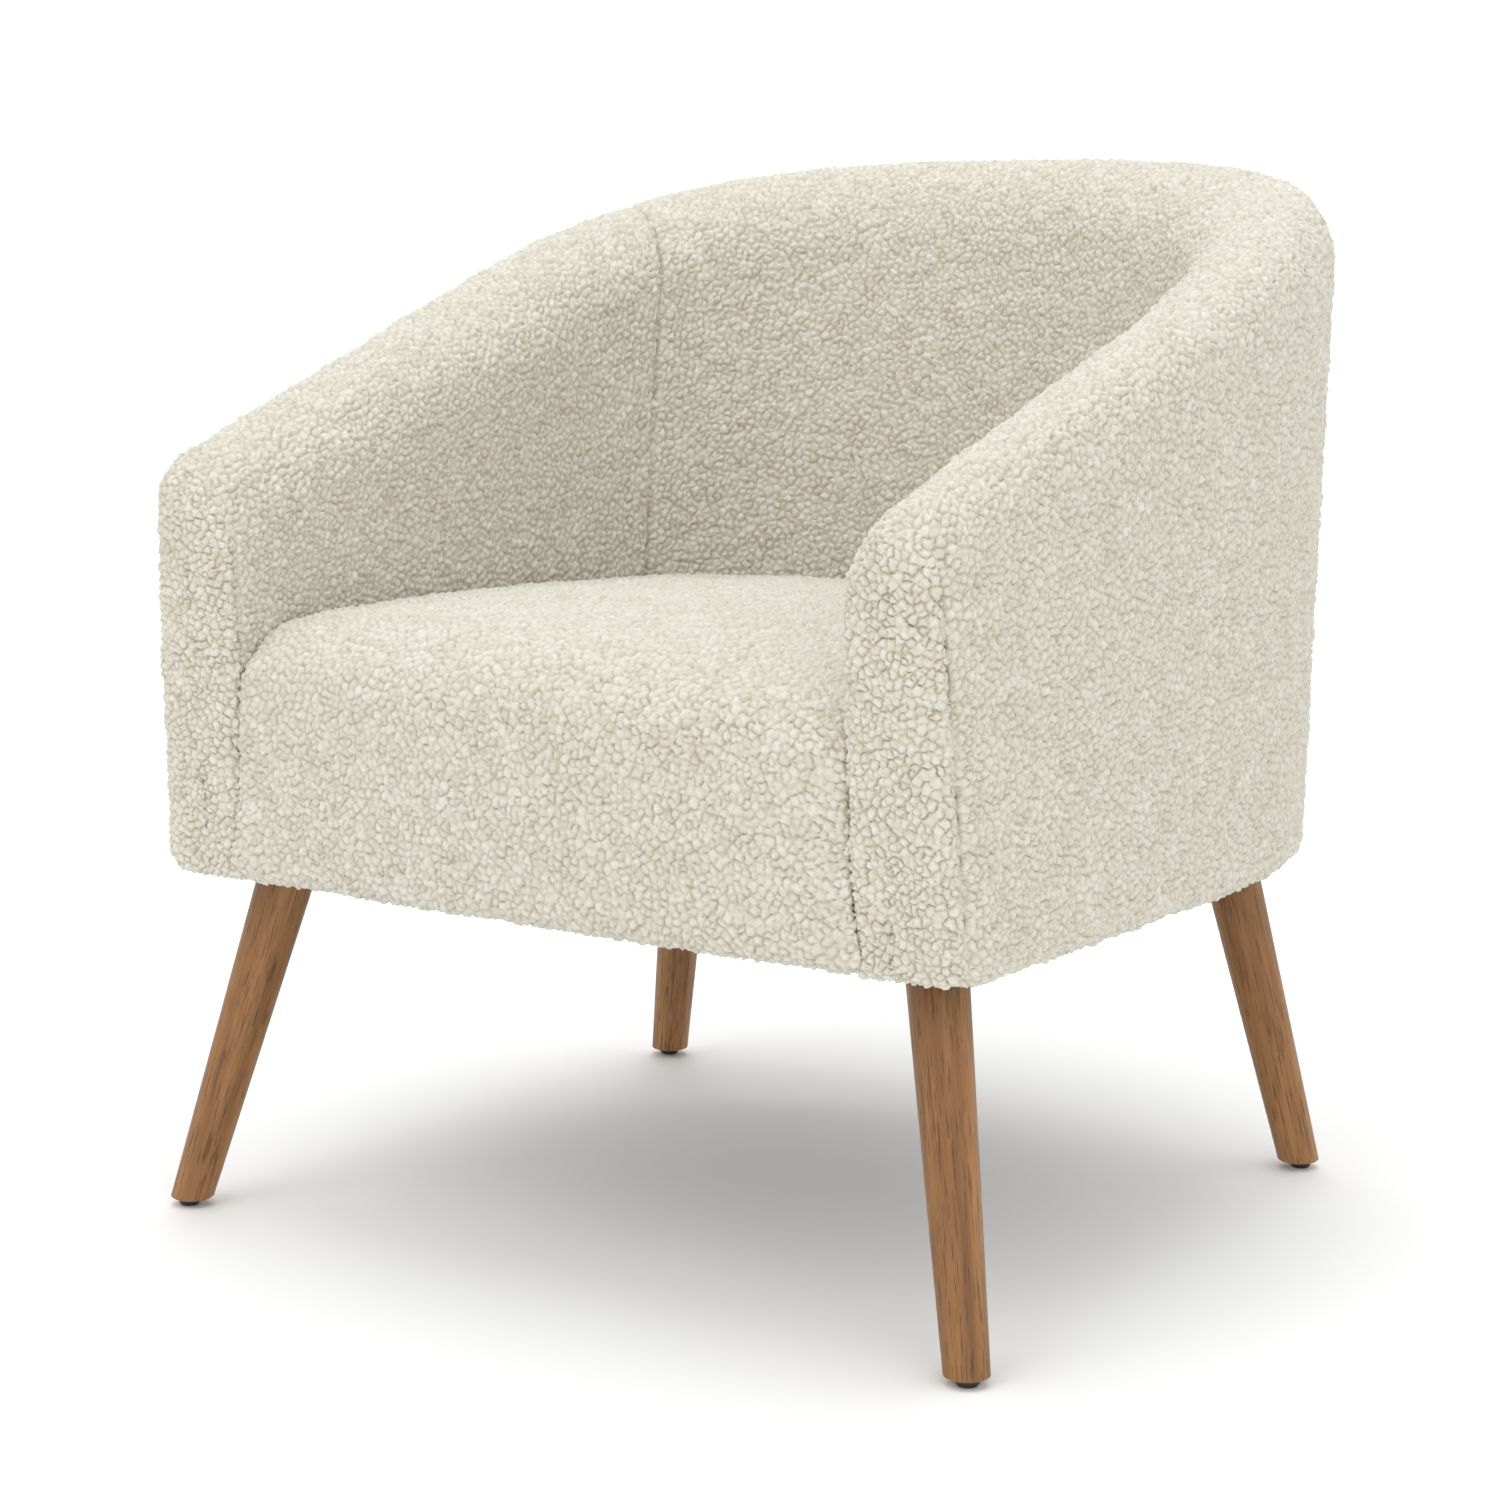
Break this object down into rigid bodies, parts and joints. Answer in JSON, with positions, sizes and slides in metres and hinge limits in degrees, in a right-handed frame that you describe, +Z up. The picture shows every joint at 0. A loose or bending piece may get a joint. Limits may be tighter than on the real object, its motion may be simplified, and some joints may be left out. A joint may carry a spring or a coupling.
{
  "type": "upholstered tub armchair",
  "caption": "Tub armchair with a low curved back flowing into sloping arms, a tight upholstered seat and splayed round tapered wooden legs with screw levelling glides.",
  "frame": {"origin": "on the floor, under the middle of the chair's bounding box", "axes": "+Z up, the sitter faces -Y, the chair's left is +X, X = 0 is the plane of symmetry"},
  "size_m": [0.6978, 0.7206, 0.76],
  "materials": {
    "legs": "satin, medium brown stain, fine straight grain",
    "timber": "bare sawn timber",
    "board": "bare hardboard",
    "steel": "zinc plated",
    "glide": "matte moulded plastic",
    "webbing": "woven elastic webbing",
    "foam": "open cell upholstery foam",
    "cover": "ivory boucle pile, nubby",
    "dust": "thin non-woven sheet"
  },
  "bodies": {
    "chair": {"leg_front_left": "legs", "leg_front_right": "legs", "leg_back_left": "legs", "leg_back_right": "legs", "hanger_bolts": "steel", "block_inserts": "steel", "glide_inserts": "steel", "corner_block_front_left": "timber", "corner_block_front_right": "timber", "corner_block_back_left": "timber", "corner_block_back_right": "timber", "front_rail": "timber", "side_rail_left": "timber", "side_rail_right": "timber", "back_rail": "timber", "arm_post_left": "timber", "arm_post_right": "timber", "arm_rail_left": "timber", "arm_rail_right": "timber", "back_post_left": "timber", "back_post_right": "timber", "back_slat": "timber", "top_rail": "timber", "outside_board": "board", "inside_board": "board", "seat_straps_long": "webbing", "seat_straps_cross": "webbing", "seat_foam": "foam", "seat_cover": "cover", "inside_back_foam": "foam", "inside_back_cover": "cover", "inside_arm_foam_left": "foam", "inside_arm_foam_right": "foam", "inside_arm_cover_left": "cover", "inside_arm_cover_right": "cover", "arm_front_left": "cover", "arm_front_right": "cover", "outside_cover": "cover", "dust_cover": "dust", "staples": "steel"},
    "pad_front_left": {"glide_pad_front_left": "glide"},
    "stud_front_left": {"glide_stud_front_left": "steel"},
    "pad_front_right": {"glide_pad_front_right": "glide"},
    "stud_front_right": {"glide_stud_front_right": "steel"},
    "pad_back_left": {"glide_pad_back_left": "glide"},
    "stud_back_left": {"glide_stud_back_left": "steel"},
    "pad_back_right": {"glide_pad_back_right": "glide"},
    "stud_back_right": {"glide_stud_back_right": "steel"}
  },
  "joints": [
    {"name": "level_front_left", "type": "slide", "parent": "chair", "child": "pad_front_left", "axis": [0, 0, -1], "range_m": [0, 0.008]},
    {"name": "screw_front_left", "type": "hinge", "parent": "pad_front_left", "child": "stud_front_left", "pos_m": [0.335, -0.325, 0.01], "axis": [0, 0, -1], "range_deg": [0, 2881]},
    {"name": "level_front_right", "type": "slide", "parent": "chair", "child": "pad_front_right", "axis": [0, 0, -1], "range_m": [0, 0.008]},
    {"name": "screw_front_right", "type": "hinge", "parent": "pad_front_right", "child": "stud_front_right", "pos_m": [-0.335, -0.325, 0.01], "axis": [0, 0, -1], "range_deg": [0, 2881]},
    {"name": "level_back_left", "type": "slide", "parent": "chair", "child": "pad_back_left", "axis": [0, 0, -1], "range_m": [0, 0.008]},
    {"name": "screw_back_left", "type": "hinge", "parent": "pad_back_left", "child": "stud_back_left", "pos_m": [0.299, 0.229, 0.01], "axis": [0, 0, -1], "range_deg": [0, 2881]},
    {"name": "level_back_right", "type": "slide", "parent": "chair", "child": "pad_back_right", "axis": [0, 0, -1], "range_m": [0, 0.008]},
    {"name": "screw_back_right", "type": "hinge", "parent": "pad_back_right", "child": "stud_back_right", "pos_m": [-0.299, 0.229, 0.01], "axis": [0, 0, -1], "range_deg": [0, 2881]}
  ],
  "couplings": [
    {"joint": "screw_front_left", "follows": "level_front_left", "rad_per_m": 6283.2},
    {"joint": "screw_front_right", "follows": "level_front_right", "rad_per_m": 6283.2},
    {"joint": "screw_back_left", "follows": "level_back_left", "rad_per_m": 6283.2},
    {"joint": "screw_back_right", "follows": "level_back_right", "rad_per_m": 6283.2}
  ]
}
